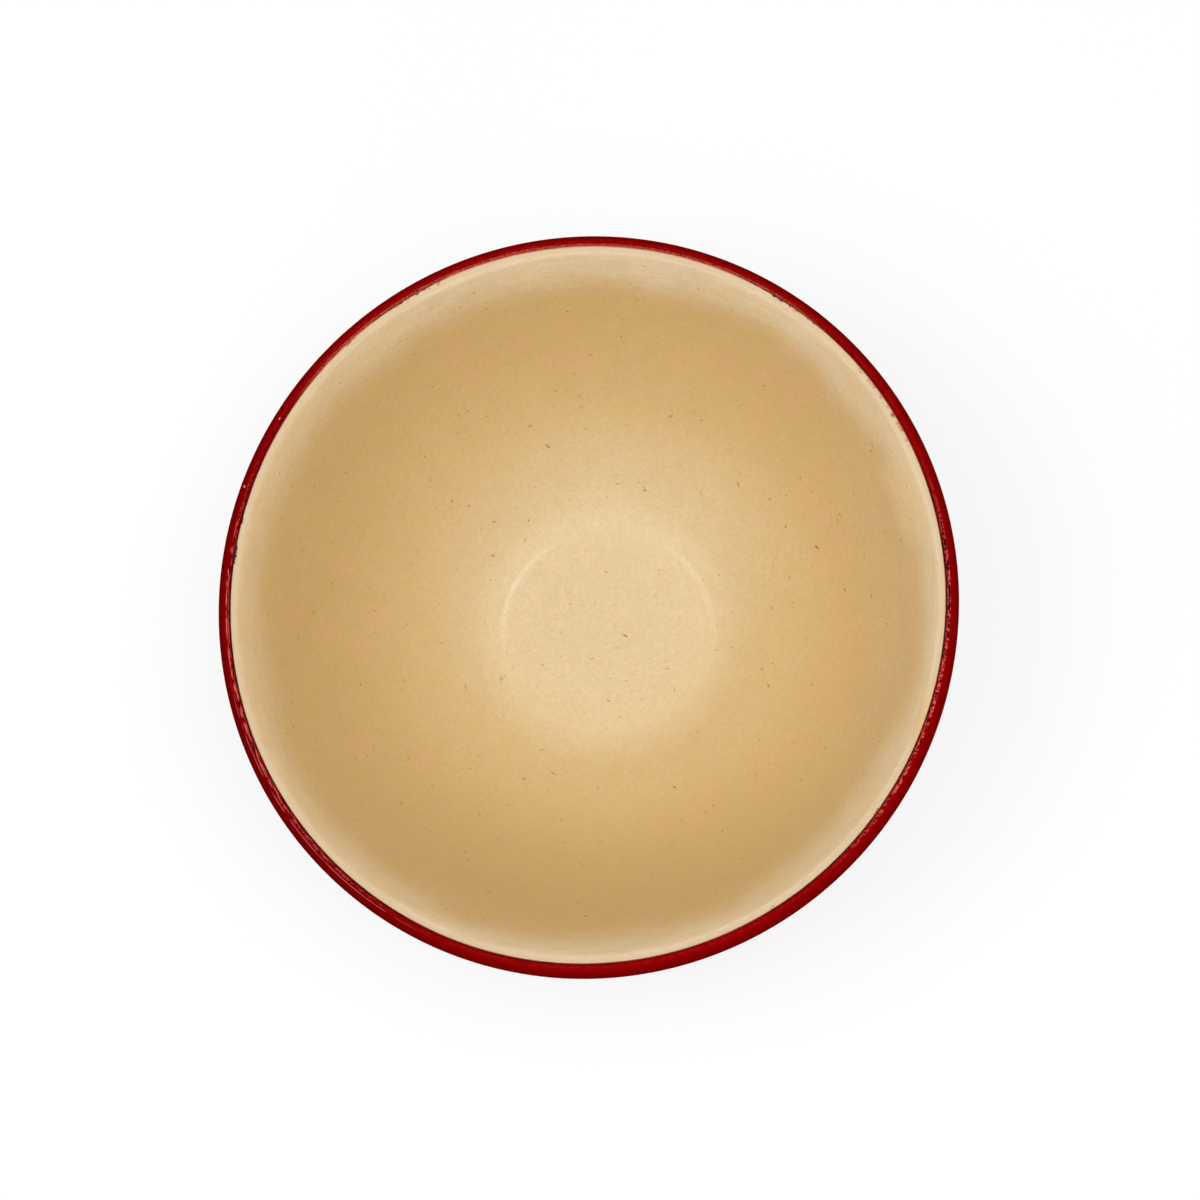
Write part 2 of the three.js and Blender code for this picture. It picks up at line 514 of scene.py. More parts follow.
# %% Liner profile
LINER_ARRIS = 0.15 * MM
ROUND_WIDTH = 1.15 * MM
ROUND_DEPTH = 2.6 * MM
LAND_FALL = 0.08 * MM
FLOOR_FILLET = 4.5 * MM
RING_RADIUS = 23.3 * MM
RING_WIDTH = 0.45 * MM
RING_STEP = 0.1 * MM
ROUND_STEPS = 12
FOOD_STEPS = 18


def fillet_profile(fillet_angle):
    """Rounded corner between wall and floor, read off at nine even radii and thirteen close ones at the
    step."""
    top, foot = wall_point(0, fillet_angle), (FLOOR_RADIUS - FLOOR_FILLET, FLOOR_HEIGHT)
    curve = rounded(top, (FLOOR_RADIUS, FLOOR_HEIGHT), foot, 200)[::-1]
    even = np.linspace(top[0], foot[0], 9, endpoint=False)
    close = np.linspace(RING_RADIUS + 2 * RING_WIDTH, RING_RADIUS - 2 * RING_WIDTH, 13)
    reach = np.sort(np.append(even, close))[::-1]
    return np.stack([reach, np.interp(reach, *curve.T)], axis=1), foot


def liner_profile():
    """Seat, hidden side, top edge, food side, a wide fillet down to the floor, and the floor."""
    seat_angle = angle_at_height(LINER_WALL, SEAT_HEIGHT)
    fillet_angle = angle_at_height(0, FLOOR_HEIGHT) + FLOOR_FILLET / HOLLOW_RADIUS
    fillet, fillet_foot = fillet_profile(fillet_angle)
    top, outer = LINER_TOP, LINER_RADIUS
    round_start = (HOLLOW_RADIUS + ROUND_WIDTH, top - LAND_FALL)
    round_end = (HOLLOW_RADIUS, top - LAND_FALL - ROUND_DEPTH)
    return np.vstack([
        [(0, SEAT_HEIGHT)],
        wall(LINER_WALL, seat_angle, 0, HIDDEN_STEPS),
        [(outer, WIDEST_HEIGHT)],
        rounded((outer, top - LINER_ARRIS), (outer, top), (outer - LINER_ARRIS, top), 4),
        straight((outer - LINER_ARRIS, top), round_start, 2),
        rounded(round_start, (HOLLOW_RADIUS, top - LAND_FALL), round_end, ROUND_STEPS),
        straight(round_end, (HOLLOW_RADIUS, WIDEST_HEIGHT), 2),
        wall(0, 0, fillet_angle, FOOD_STEPS),
        fillet,
        straight(fillet_foot, (0, FLOOR_HEIGHT), 3),
        [(0, FLOOR_HEIGHT)],
    ])


profile = liner_profile()
print("liner profile", profile.shape, "with a floor step of", round(1000 * RING_STEP, 2), "mm")

# %% [markdown]
# The top edge of the liner is frayed in a few places, where grains broke out of it, and stained in others.
# Each could be cut by hand, but a table of runs strews them with a fixed seed. The wall itself waves by a
# few hundredths of a millimetre.

# %% Liner surface
WALL_WAVE = 0.06 * MM
TOP_WANDER = 0.05 * MM
FRAY_DEPTH = 0.2 * MM
GAPS = [
    (172.1, 1.8, 12, -0.05, 0.12, 0.1, 0.18), (166.4, 0.5, 3, 0.0, 0.1, 0.1, 0.15),
    (131.8, 1.6, 8, -0.1, 0.05, 0.08, 0.14), (120.4, 3.6, 18, -0.1, 0.06, 0.08, 0.14),
    (57.2, 1.3, 8, -0.05, 0.1, 0.1, 0.16), (50.5, 1.5, 5, -0.05, 0.05, 0.08, 0.12),
]
STAINS = [
    (38.6, 2.4, 9, 0.15, 0.5, 0.08, 0.14), (29.6, 1.6, 9, 0.15, 0.6, 0.1, 0.2),
    (33.5, 1.2, 5, 0.2, 0.5, 0.08, 0.14), (26, 1.0, 4, 0.2, 0.5, 0.08, 0.12),
    (118.5, 4.0, 8, 0.1, 0.4, 0.08, 0.14), (54, 2.0, 6, 0.1, 0.5, 0.08, 0.14),
    (-36.2, 0.5, 6, 0.05, 0.25, 0.08, 0.12), (-58.8, 0.3, 5, 0.05, 0.5, 0.08, 0.1),
]


def on_edge(places):
    """The same places measured from the top edge of the liner."""
    return [(turn, LINER_RADIUS - inset, LINER_TOP, size) for turn, inset, size in places]


radius, height = rings_of(profile)
food_side = np.arange(len(profile))[:, None] > np.argmax(profile[:, 1])
depth = LINER_TOP - height
gaps = np.clip(spots(on_edge(crumbs(26, GAPS)), radius, height), 0, 1)
stains = np.clip(spots(on_edge(crumbs(27, STAINS)), radius, height), 0, 1)

wave = wander(21, 2, 9, 0.4) * np.sin(depth / (9 * MM))
wave = wave + wander(22, 3, 14, 0.3) * np.cos(depth / (5 * MM))
wavy = ramp(depth, 0.2 * MM, 3 * MM) * (1 - ramp(depth, 40 * MM, 60 * MM))
radius += food_side * WALL_WAVE * wave * wavy
top_edge = 1 - ramp(depth, 0.2 * MM, 1.2 * MM)
fall = top_edge * TOP_WANDER * (1 + 0.4 * wander(23, 4, 60, 0.8))
height -= fall * ramp(radius, HOLLOW_RADIUS, LINER_RADIUS)
ring_side = np.maximum(sector(154, 32, 14), sector(26, 38, 14))
ring_fall = RING_STEP * (0.1 + 0.9 * ring_side)
height -= food_side * ring_fall * (1 - ramp(radius, RING_RADIUS - RING_WIDTH, RING_RADIUS + RING_WIDTH))
radius -= FRAY_DEPTH * gaps * top_edge * ramp(radius, LINER_RADIUS - 0.4 * MM, LINER_RADIUS)

liner = revolve("cream_liner", radius + warp(height, 1), height)
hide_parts("inner_liner")
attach(liner, "root")

# %% [markdown]
# Use has changed the cream, and light is painted into it too. The upper wall has a pale band, partly from
# washing and partly painted light, a patch of painted light lies on the right wall, the floor is paler,
# partly from scrubbing and partly a painted pool of light, and painted shade darkens the lower wall. The
# trimmed edge is rawer than the rest. A brush could paint these, but depth below the edge and distance from
# the axis place them too.

# %% Wear on the liner
raw_edge = top_edge * ramp(radius, LINER_RADIUS - 0.32 * MM, LINER_RADIUS - 0.05 * MM)
raw_land = 1 - ramp(depth, 0.4 * MM, 2.6 * MM)
raw_land = raw_land * ramp(radius, HOLLOW_RADIUS - 0.1 * MM, HOLLOW_RADIUS + 0.8 * MM)
smudge = sector(-20, 4, 4) * window(radius, HOLLOW_RADIUS - 0.1 * MM, LINER_RADIUS - 0.2 * MM, 0.4 * MM)

# The pale band is partly from washing and partly painted light: its level round the axis and the two extra
# patches follow where the wall catches light.
haze_and_light_edge = 20.5 + 4 * np.cos(azimuth + math.radians(45))
haze_and_light_edge = (haze_and_light_edge + 1.8 * wander(24, 2, 12, 0.6) + 0.5 * wander(25, 13, 40, 0.5)) * MM
haze_and_light_level = 0.675 + 0.11 * np.cos(azimuth) + 0.05 * np.sin(azimuth) - 0.14 * np.cos(2 * azimuth)
haze_and_light = haze_and_light_level * (1 - ramp(depth, haze_and_light_edge - 7 * MM, haze_and_light_edge + 6 * MM))
haze_and_light += 0.16 * sector(72, 45, 30) * window(radius, 27 * MM, 42 * MM, 9 * MM)
haze_and_light += 0.15 * sector(2, 26, 22) * window(depth, 2 * MM, 34 * MM, 14 * MM)
# A patch of painted light on the upper wall at the right.
painted_light_patch = sector(19.5, 6.75, 3) * window(depth, 4 * MM, 24 * MM, 4 * MM)

# The paler floor is partly scrubbed and partly a painted pool of light, centred a little off the axis.
pale_floor_reach = np.hypot(radius * np.cos(azimuth) + 1.5 * MM, radius * np.sin(azimuth) - 7 * MM)
scrubbed_and_lit = 0.7 * (1 - ramp(pale_floor_reach, 18 * MM, 40 * MM))
scrubbed_and_lit += 0.3 * (1 - ramp(pale_floor_reach, 32 * MM, 58 * MM))
# Painted shade: a darker band low on the wall towards -Y, and a fainter one on the fillet towards +X.
painted_shade = sector(-90, 40, 28) * window(depth, 38 * MM, 48 * MM, 14 * MM)
painted_shade += 0.3 * sector(-15, 75, 40) * window(radius, 25 * MM, 31 * MM, 5 * MM)
ring = window(radius, RING_RADIUS - RING_WIDTH, RING_RADIUS + RING_WIDTH, RING_WIDTH)

paint(liner, {
    "edge": raw_edge * (0.35 + 0.65 * sector(-15, 45, 25)),
    "land": raw_land,
    "smudge": food_side * smudge * (1 - ramp(depth, 1 * MM, 4 * MM)),
    "stain": np.clip(stains * 1.5, 0, 1),
    "dark_crumbs": np.clip(gaps * 1.3, 0, 1),
    "haze_and_light": food_side * haze_and_light,
    "painted_light_patch": food_side * painted_light_patch,
    "scrubbed_and_lit": food_side * scrubbed_and_lit,
    "painted_shade": food_side * painted_shade,
    "ring": food_side * ring * ring_side,
})
print(f"haze ends {1000 * haze_and_light_edge.min():.1f} to {1000 * haze_and_light_edge.max():.1f} mm below the edge")

# %% [markdown]
# ## The bond line
# A line of dark resin joins the two pressings. Where it is starved it lies deep and reads as a dark gap,
# and on the far side the red resin fills it almost to the top. A dark stripe in one of the finishes could
# hint at it. Here it is a ring of its own, with a closed profile whose top rises and falls round the bowl.

# %% Bond line surface
BOND_DEPTH = 4 * MM
BOND_LOW = 0.45 * MM
BOND_FULL = 0.03 * MM
BOND_CLEAR = 0.01 * MM
BOND_HOLLOW = 0.05 * MM
STARVED = [
    (-20, 42, 8, 0.9), (-154, 38, 8, 0.9), (-90, 16, 8, 0.4),
    (172, 14, 5, 0.9), (121, 6, 3, 0.8), (58, 5, 3, 0.9),
]


def bond_profile():
    """Closed band between the two pressings: outer side up, across the hollow top, inner side down."""
    outer, inner = face_radius - BOND_CLEAR, LINER_RADIUS + BOND_CLEAR
    low, top = LINER_TOP - BOND_DEPTH, LINER_TOP
    middle = (outer + inner) / 2
    return np.array([(outer, low), (outer, top), (middle, top - BOND_HOLLOW), (inner, top), (inner, low)])


radius, height = rings_of(bond_profile())
starved = np.max([share * sector(*place) for *place, share in STARVED], axis=0)
starved = np.clip(starved * (1 + 0.35 * wander(32, 20, 200, 0.3)), 0, 1)
sink = BOND_FULL + (BOND_LOW - BOND_FULL) * starved
height -= (height > LINER_TOP - 1 * MM) * sink
bond = revolve("bond_line", radius + warp(height, 1), height, closed=True)
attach(bond, "root")
rows = {"starved": starved, "worn_and_lit": far_side}
paint(bond, {mark: np.broadcast_to(row, radius.shape) for mark, row in rows.items()}, closed=True)

# %% [markdown]
# ## Finishes
# Every finish is built from nodes that read Object coordinates or the attributes painted above. They could
# be wired by hand in the shader editor. Small helpers add and wire a node, which keeps each effect short.

# %% Node helpers
def wire(tree, node, inputs):
    """Links each input that is given as an output socket and sets any other. Colours get an alpha of 1."""
    for name, value in inputs.items():
        socket = node.inputs[name]
        if isinstance(value, bpy.types.NodeSocket):
            tree.links.new(value, socket)
        else:
            socket.default_value = (*value, 1) if socket.type == "RGBA" else value


def add(tree, kind, inputs=None, **options):
    """Adds one node, sets its options, then wires its inputs."""
    node = tree.nodes.new(kind)
    for name, value in options.items():
        setattr(node, name, value)
    wire(tree, node, inputs or {})
    return node


def maths(tree, operation, first, second, clamp=False):
    """Output of a Math node with two inputs."""
    inputs = {0: first, 1: second}
    return add(tree, "ShaderNodeMath", inputs, operation=operation, use_clamp=clamp).outputs[0]


def times(tree, first, second):
    """Product of two numbers."""
    return maths(tree, "MULTIPLY", first, second)


def vector_maths(tree, operation, inputs):
    """First output of a Vector Math node."""
    return add(tree, "ShaderNodeVectorMath", inputs, operation=operation).outputs[0]


def step(tree, value, low, high, start=0.0, end=1.0):
    """Output of a smooth step from start to end as the value goes from low to high."""
    inputs = {"Value": value, "From Min": low, "From Max": high, "To Min": start, "To Max": end}
    return add(tree, "ShaderNodeMapRange", inputs, interpolation_type="SMOOTHSTEP").outputs["Result"]


def mix(tree, factor, first, second):
    """Colour output of a Mix node."""
    inputs = {0: factor, 6: first, 7: second}
    return add(tree, "ShaderNodeMix", inputs, data_type="RGBA").outputs[2]


def painted(tree, name):
    """Number of a painted attribute."""
    return add(tree, "ShaderNodeAttribute", attribute_name=name).outputs["Fac"]


def lay(tree, colour, tint, mask, share=None):
    """Lays a tint over a colour by a mask, which is an output or the name of an attribute, times a share."""
    if isinstance(mask, str):
        mask = painted(tree, mask)
    if share is not None:
        mask = times(tree, mask, share)
    return mix(tree, mask, colour, tint)


# %% [markdown]
# ### Groups and materials
# An effect that more than one finish uses becomes a node group, built once and placed with its own values.
# Copies of the nodes would work as well, but then each change would have to be made twice.

# %% Groups and materials
def new_group(name, numbers, outputs_of):
    """Shader node group with a Vector and number inputs. Its outputs are the numbers, by name, that the
    function makes of them."""
    tree = bpy.data.node_groups.new(name, "ShaderNodeTree")
    tree.interface.new_socket("Vector", in_out="INPUT", socket_type="NodeSocketVector")
    for socket in numbers:
        tree.interface.new_socket(socket, in_out="INPUT", socket_type="NodeSocketFloat")
    outputs = outputs_of(tree, add(tree, "NodeGroupInput").outputs)
    for socket in outputs:
        tree.interface.new_socket(socket, in_out="OUTPUT", socket_type="NodeSocketFloat")
    add(tree, "NodeGroupOutput", outputs)
    print(f"group {name}: {len(tree.nodes)} nodes")
    return tree


def use(tree, group, vector, **values):
    """Outputs of a group node, with its Vector linked and its numbers set."""
    return add(tree, "ShaderNodeGroup", {"Vector": vector, **values}, node_tree=group).outputs


def dress(mesh, name, inputs_of):
    """Gives a mesh a material. The function makes the inputs of its Principled shader from the tree and
    the Object coordinates."""
    material = bpy.data.materials.new(name)
    material.use_nodes = True
    tree = material.node_tree
    tree.nodes.clear()
    place = add(tree, "ShaderNodeTexCoord").outputs["Object"]
    shader = add(tree, "ShaderNodeBsdfPrincipled", inputs_of(tree, place))
    add(tree, "ShaderNodeOutputMaterial", {"Surface": shader.outputs[0]})
    mesh.materials.append(material)
    print(f"finish {name}: {len(tree.nodes)} nodes")


# %% [markdown]
# ### Fibre specks
# Ground husk shows as specks where a grain happens to lie at the surface. A painted texture could carry
# them, but cells of a Voronoi texture in space do the same as the real grains: a speck shows only where a
# cell's point lies near the surface, so sizes differ by themselves. A random number a cell drops most of
# them, and a little noise makes the outlines ragged.

# %% Speck group
def speck_mask(tree, given):
    """Mask = smooth step of the distance to the nearest cell point, kept where the cell's own random
    number is below the share."""
    finer = times(tree, given["Scale"], 2.6)
    noise = add(tree, "ShaderNodeTexNoise", {"Vector": given["Vector"], "Scale": finer, "Detail": 1.0})
    shift = vector_maths(tree, "SUBTRACT", {0: noise.outputs["Color"], 1: (0.5, 0.5, 0.5)})
    ragged = maths(tree, "DIVIDE", given["Ragged"], given["Scale"])
    shift = vector_maths(tree, "SCALE", {0: shift, "Scale": ragged})
    place = vector_maths(tree, "ADD", {0: given["Vector"], 1: shift})
    cells = add(tree, "ShaderNodeTexVoronoi", {"Vector": place, "Scale": given["Scale"]})
    pick = add(tree, "ShaderNodeSeparateColor", {0: cells.outputs["Color"]})
    kept = maths(tree, "LESS_THAN", pick.outputs["Red"], given["Share"])
    reach = times(tree, given["Size"], maths(tree, "ADD", pick.outputs["Green"], 0.4))
    inner = times(tree, reach, 0.55)
    near = step(tree, cells.outputs["Distance"], reach, inner)
    return {"Mask": times(tree, near, kept)}


specks = new_group("Fibre specks", ["Scale", "Share", "Size", "Ragged"], speck_mask)

# %% [markdown]
# ### Pressed grain
# Both pressings copy the fine texture of their moulds. Two separate noises in each material could show it.
# One group with two layers serves as a soft change of tone and as a height for the bump, at scales that
# each finish chooses.

# %% Grain group
def grain_layers(tree, given):
    """Tone = broad noise about 0, height = fine noise about 0."""
    layers = {}
    for scale, detail, socket in (("Broad", 3.0, "Tone"), ("Fine", 2.0, "Height")):
        inputs = {"Vector": given["Vector"], "Scale": given[scale], "Detail": detail, "Roughness": 0.55}
        noise = add(tree, "ShaderNodeTexNoise", inputs)
        layers[socket] = maths(tree, "SUBTRACT", noise.outputs["Fac"], 0.5)
    return layers


grain = new_group("Pressed grain", ["Broad", "Fine"], grain_layers)

# %% [markdown]
# ### Streaks round the axis
# Trimming and wiping go round the bowl, so their marks are long round the axis and narrow across it. Plain
# noise can't follow a circle, but it can when the direction from the axis and the distance along the
# profile are its coordinates. Radius minus height serves as that distance on the rim and on the wall.

# %% Streak group
def streak_tone(tree, given):
    """Tone = noise about 0 at (direction x rim radius x Along, (radius - height) x Across)."""
    level = vector_maths(tree, "MULTIPLY", {0: given["Vector"], 1: (1, 1, 0)})
    radius = add(tree, "ShaderNodeVectorMath", {0: level}, operation="LENGTH").outputs["Value"]
    outward = vector_maths(tree, "NORMALIZE", {0: level})
    along = times(tree, given["Along"], RIM_RADIUS)
    around = vector_maths(tree, "SCALE", {0: outward, "Scale": along})
    height = add(tree, "ShaderNodeSeparateXYZ", {0: given["Vector"]}).outputs["Z"]
    across = times(tree, maths(tree, "SUBTRACT", radius, height), given["Across"])
    lifted = add(tree, "ShaderNodeCombineXYZ", {"Z": across}).outputs[0]
    place = vector_maths(tree, "ADD", {0: around, 1: lifted})
    inputs = {"Vector": place, "Scale": 1.0, "Detail": 1.5, "Roughness": 0.55}
    noise = add(tree, "ShaderNodeTexNoise", inputs)
    return {"Tone": maths(tree, "SUBTRACT", noise.outputs["Fac"], 0.5)}


streaks = new_group("Turned streaks", ["Along", "Across"], streak_tone)

# %% [markdown]
# ### Cream fibre
# The liner's resin is a warm cream with faint peach and straw clouds. The floor is paler, partly from
# scrubbing and partly a painted pool of light, and a pale band from washing and painted light lies on the
# upper wall. An image could be laid over the wall for that.
# Mixed noises need none, and they have no seam and no edge.

# %% Body of the cream
# The pale band, patch and floor colours below carry painted light, and the tan is painted shade.
CREAM = (0.718, 0.512, 0.212)
PEACH = (0.745, 0.50, 0.254)
STRAW = (0.73, 0.52, 0.222)
SCRUBBED_LIT_CREAM = (0.735, 0.588, 0.355)
SHADE_TAN = (0.58, 0.41, 0.165)
HAZE_AND_LIGHT_CREAM = (0.93, 0.82, 0.61)
LIT_PATCH_CREAM = (0.98, 0.79, 0.47)
MOTTLE_TAN = (0.52, 0.36, 0.15)
STREAK_TAN = (0.56, 0.42, 0.15)


def cream_body(tree, clouds, drift):
    """Cream and peach by the clouds, straw by the slower drift, then the paler floor with its painted light
    and the painted shade.
    """
    colour = mix(tree, step(tree, clouds["Tone"], -0.16, 0.16), CREAM, PEACH)
    colour = lay(tree, colour, STRAW, step(tree, drift["Tone"], -0.2, 0.2), 0.5)
    colour = lay(tree, colour, SCRUBBED_LIT_CREAM, "scrubbed_and_lit")
    return lay(tree, colour, SHADE_TAN, "painted_shade", 0.5)


def cream_haze_and_light(tree, place, drift, colour):
    """Haze and painted light, broken up by wide and narrow smears, the painted light patch, then a fine
    mottle and faint streaks.
    """
    wiped = use(tree, streaks, place, Along=110.0, Across=300.0)
    blown = use(tree, streaks, place, Along=120.0, Across=70.0)
    smears = maths(tree, "ADD", wiped["Tone"], blown["Tone"])
    colour = lay(tree, colour, HAZE_AND_LIGHT_CREAM, "haze_and_light", step(tree, smears, -0.25, 0.2, 0.74, 0.98))
    colour = lay(tree, colour, LIT_PATCH_CREAM, "painted_light_patch", 0.47)
    colour = lay(tree, colour, MOTTLE_TAN, step(tree, drift["Height"], -0.2, 0.2, 0.0, 0.2))
    turned = use(tree, streaks, place, Along=130.0, Across=650.0)
    return lay(tree, colour, STREAK_TAN, step(tree, turned["Tone"], -0.15, 0.15, 0.0, 0.09))


# %% [markdown]
# ### Husk and raw edge
# The husk is cut into short fibres, so its specks are longer than wide and lie in all directions. The same
# specks could be turned one by one, but four layers, each stretched along another direction, look as mixed.
# The trimmed edge has no skin, so it is duller and takes orange-brown stains.

# %% Husk and edge of the cream
FIBRE_STRETCH = (2.2, 1, 1)
FIBRE_LAYERS = (
    (700.0, 0.9, 0.17, 0.25, 40, (0.54, 0.31, 0.07)),
    (430.0, 0.65, 0.1, 0.55, 8, (0.43, 0.185, 0.02)),
    (390.0, 0.45, 0.09, 0.65, 105, (0.38, 0.14, 0.012)),
    (300.0, 0.55, 0.068, 0.75, 152, (0.28, 0.085, 0.004)),
)
LAND_CREAM = (0.605, 0.452, 0.272)
SMUDGE_OCHRE = (0.66, 0.42, 0.15)
EDGE_ORANGE = (0.76, 0.42, 0.16)
STAIN_ORANGE = (0.60, 0.24, 0.03)
STAIN_BROWN = (0.30, 0.075, 0.008)
# Near black for the frayed gaps in the top edge.
DARK_CRUMB = (0.035, 0.008, 0.002)


def husk_fibres(tree, place, colour):
    """Layers of specks from faint to dark. A layer is scale, share, size, strength, direction and tint."""
    for scale, share, size, strength, direction, tint in FIBRE_LAYERS:
        inputs = {"Vector": place, "Rotation": (0, 0, math.radians(direction)), "Scale": FIBRE_STRETCH}
        lying = add(tree, "ShaderNodeMapping", inputs, vector_type="TEXTURE").outputs[0]
        speck = use(tree, specks, lying, Scale=scale, Share=share, Size=size, Ragged=0.5)
        colour = lay(tree, colour, tint, speck["Mask"], strength)
    return colour


def stained_edge(tree, place, colour):
    """Raw land, smudge, blotched orange edge, then stains and near black crumbs in the frayed places."""
    colour = lay(tree, colour, LAND_CREAM, "land", 0.85)
    colour = lay(tree, colour, SMUDGE_OCHRE, "smudge", 0.6)
    noise = add(tree, "ShaderNodeTexNoise", {"Vector": place, "Scale": 1400.0, "Detail": 3.0})
    blotch = noise.outputs["Fac"]
    colour = lay(tree, colour, EDGE_ORANGE, "edge", step(tree, blotch, 0.4, 0.6, 0.2, 0.8))
    brown = mix(tree, step(tree, blotch, 0.4, 0.6), STAIN_ORANGE, STAIN_BROWN)
    colour = lay(tree, colour, brown, "stain")
    return lay(tree, colour, DARK_CRUMB, "dark_crumbs")


# %% [markdown]
# The skin of the cream is satin. It is a little smoother on the step round the floor, which makes the two
# arcs of light. A weak sheen stands for the dry surface of the fibre, which looks paler at a low angle.

# %% Cream finish
def cream_finish(tree, place):
    """Body, haze, husk and edge as the colour, roughness by the clouds, and two grains as a bump."""
    clouds = use(tree, grain, place, Broad=260.0, Fine=2600.0)
    drift = use(tree, grain, place, Broad=70.0, Fine=1200.0)
    colour = cream_body(tree, clouds, drift)
    colour = cream_haze_and_light(tree, place, drift, colour)
    colour = husk_fibres(tree, place, colour)
    colour = stained_edge(tree, place, colour)
    rough = maths(tree, "ADD", times(tree, clouds["Tone"], 0.3), 0.48)
    ring = times(tree, painted(tree, "ring"), 0.22)
    relief = maths(tree, "ADD", clouds["Height"], times(tree, drift["Height"], 1.5))
    bump = add(tree, "ShaderNodeBump", {"Height": relief, "Strength": 0.12, "Distance": 0.2 * MM})
    return {
        "Base Color": colour,
        "Roughness": maths(tree, "SUBTRACT", rough, ring),
        "Normal": bump.outputs[0],
        "Specular IOR Level": 0.4,
        "Sheen Weight": 0.3,
        "Sheen Roughness": 0.35,
        "Sheen Tint": (1.0, 0.93, 0.82),
    }


dress(liner.data, "cream_fibre", cream_finish)

# %% [markdown]
# ### Red fibre
# The shell is a deep red with slow clouds and darker flecks, with painted light and shade round the rim
# and painted shade on the shoulder. Its trimmed land is the roughest part, and its colour carries painted
# glints, as streaks at the left and on the grain at the right, painted shade in the pits, and a crease line
# of painted highlight and painted shade. A separate strip of geometry could carry these marks, but they
# are finer than any mesh, so they are colour.

# %% Body and land of the red
# The three reds after the first are painted shade: for the shaded side of the rim and for the shoulder off
# the land.
RED = (0.285, 0.0008, 0.0012)
RED_PAINTED_SHADE = (0.18, 0.0006, 0.0008)
SHOULDER_SHADED_RED = (0.222, 0.0006, 0.0008)
SHOULDER_DEEP_SHADED_RED = (0.15, 0.0005, 0.0006)
CLOUD_RED = (0.14, 0.0005, 0.0006)
FLECK_RED = (0.11, 0.001, 0.002)
# Below, the pit colour is painted shade and the pale ridge colour painted glints, the groove colour is
# painted shade and the score colour a painted highlight.
PIT_SHADE_RED = (0.07, 0.0006, 0.0008)
GLINT_RED = (0.66, 0.10, 0.095)
PAINTED_SHADE_RED = (0.03, 0.0004, 0.0005)
CREASE_HIGHLIGHT_RED = (0.46, 0.075, 0.075)


def red_body(tree, place, clouds, land):
    """Red by the painted light and shade round the rim, painted shade on the shoulder off the land, then
    slow clouds and dark flecks.
    """
    tone = painted(tree, "tone")
    colour = mix(tree, tone, RED_PAINTED_SHADE, RED)
    rolled = mix(tree, tone, SHOULDER_DEEP_SHADED_RED, SHOULDER_SHADED_RED)
    colour = mix(tree, land, rolled, colour)
    colour = lay(tree, colour, CLOUD_RED, step(tree, clouds["Tone"], -0.2, 0.2, 0.0, 0.2))
    flecks = use(tree, specks, place, Scale=700.0, Share=0.35, Size=0.12, Ragged=0.2)
    return lay(tree, colour, FLECK_RED, flecks["Mask"], 0.35)


def land_ridges(tree, place):
    """Ridges about 0: streaks where the land is lined, grains where it isn't."""
    trimmed = use(tree, streaks, place, Along=420.0, Across=5200.0)
    grains = use(tree, grain, place, Broad=500.0, Fine=1700.0)
    lined = painted(tree, "lined")
    plain = maths(tree, "SUBTRACT", 1.0, lined)
    lined = times(tree, lined, trimmed["Tone"])
    return maths(tree, "ADD", lined, times(tree, plain, grains["Height"]))


def trimmed_land(tree, place, ridges, colour):
    """Painted shade in the pits and painted glints on the ridge tops, then the crease's painted shade and
    painted highlight.
    """
    colour = lay(tree, colour, PIT_SHADE_RED, "painted_glints", step(tree, ridges, -0.03, -0.1, 0.0, 0.7))
    colour = lay(tree, colour, GLINT_RED, "painted_glints", step(tree, ridges, -0.02, 0.06))
    # Above 0 the line is the crease's painted highlight, below 0 painted shade of the crease and of the
    # joint.
    line = painted(tree, "line")
    colour = lay(tree, colour, PAINTED_SHADE_RED, step(tree, line, 0.0, -1.0, 0.0, 0.9))
    broken = use(tree, streaks, place, Along=260.0, Across=900.0)
    pale = step(tree, broken["Tone"], -0.12, 0.06)
    pale = maths(tree, "MULTIPLY", line, pale, clamp=True)
    return lay(tree, colour, CREASE_HIGHLIGHT_RED, pale)


# %% [markdown]
# ### Wear of the red
# The face above the liner is worn and painted a lighter orange red on the far side, where light falls on it,
# two chips show the pale fibre, and one place is near black. The foot ring is scuffed where it stands on the
# table. A second material could hold all this. As layers over the red it fades in softly.

# %% Wear of the red
# This orange red is partly wear and partly painted light on the far face.
WORN_LIT_RED = (0.64, 0.11, 0.065)
CHIP_PINK = (0.80, 0.52, 0.46)
# Near black for one place on the land, in the pits between the ridges.
DARK_PATCH = (0.012, 0.005, 0.003)
SCUFF_RED = (0.36, 0.07, 0.055)
SCUFF_TOP = 0.9 * MM
SCUFF_FULL = 0.1 * MM


def worn_rim(tree, clouds, ridges, colour):
    """Worn face with painted light, by the grain, chips as painted, and near black in the pits between the
    ridges.
    """
    colour = lay(tree, colour, WORN_LIT_RED, "worn_and_lit", step(tree, clouds["Height"], -0.12, 0.1))
    colour = lay(tree, colour, CHIP_PINK, "chip")
    return lay(tree, colour, DARK_PATCH, "dark_patch", step(tree, ridges, 0.1, 0.0))


def foot_scuff(tree, place, clouds):
    """Mask of the scuffed foot: the lowest millimetre, broken up by the grain."""
    height = add(tree, "ShaderNodeSeparateXYZ", {0: place}).outputs["Z"]
    foot = step(tree, height, SCUFF_TOP, SCUFF_FULL)
    return times(tree, foot, step(tree, clouds["Height"], -0.1, 0.15))


# %% [markdown]
# The outside has a thin satin coat that ends at the shoulder, where trimming took it off. A lower
# roughness would make the rim shine too, so the coat is painted. The land has the orange peel of its grain.

